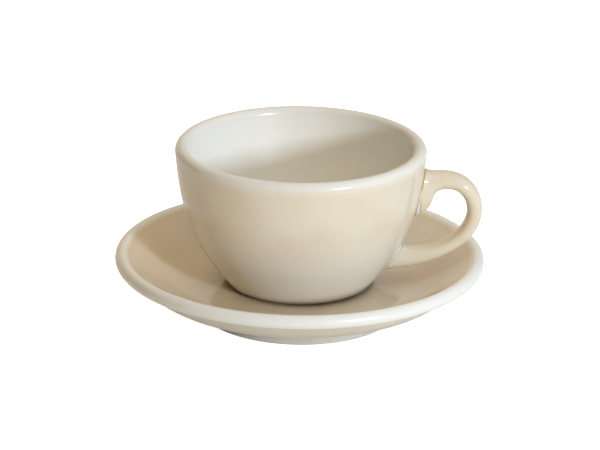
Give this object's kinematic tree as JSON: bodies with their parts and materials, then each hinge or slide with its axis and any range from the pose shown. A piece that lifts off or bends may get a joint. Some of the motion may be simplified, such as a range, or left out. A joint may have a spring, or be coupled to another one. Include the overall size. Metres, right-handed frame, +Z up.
{
  "type": "cappuccino cup and saucer",
  "caption": "Round-bellied cappuccino cup with a loop handle, standing in the well of a dished saucer with a rolled lip; the cup lifts off.",
  "frame": {"origin": "centre of the saucer's foot ring, on the table that it stands on", "axes": "+Z up along the common axis of cup and saucer, +X towards the handle"},
  "size_m": [0.145, 0.145, 0.0687],
  "materials": {
    "cream_glaze": "glossy cream glaze over pale stoneware, white inside the cup and along the saucer's lip",
    "pale_slip": "pale fired slip under a thin glaze"
  },
  "bodies": {
    "saucer": {"saucer": "cream_glaze"},
    "cup": {"cup_bowl": "cream_glaze", "cup_handle": "cream_glaze", "upper_slip_joint": "pale_slip", "lower_slip_joint": "pale_slip"}
  },
  "joints": [
    {"name": "cup_lift", "type": "slide", "parent": "saucer", "child": "cup", "axis": [0, 0, 1], "range_m": [0, 0.08]}
  ]
}
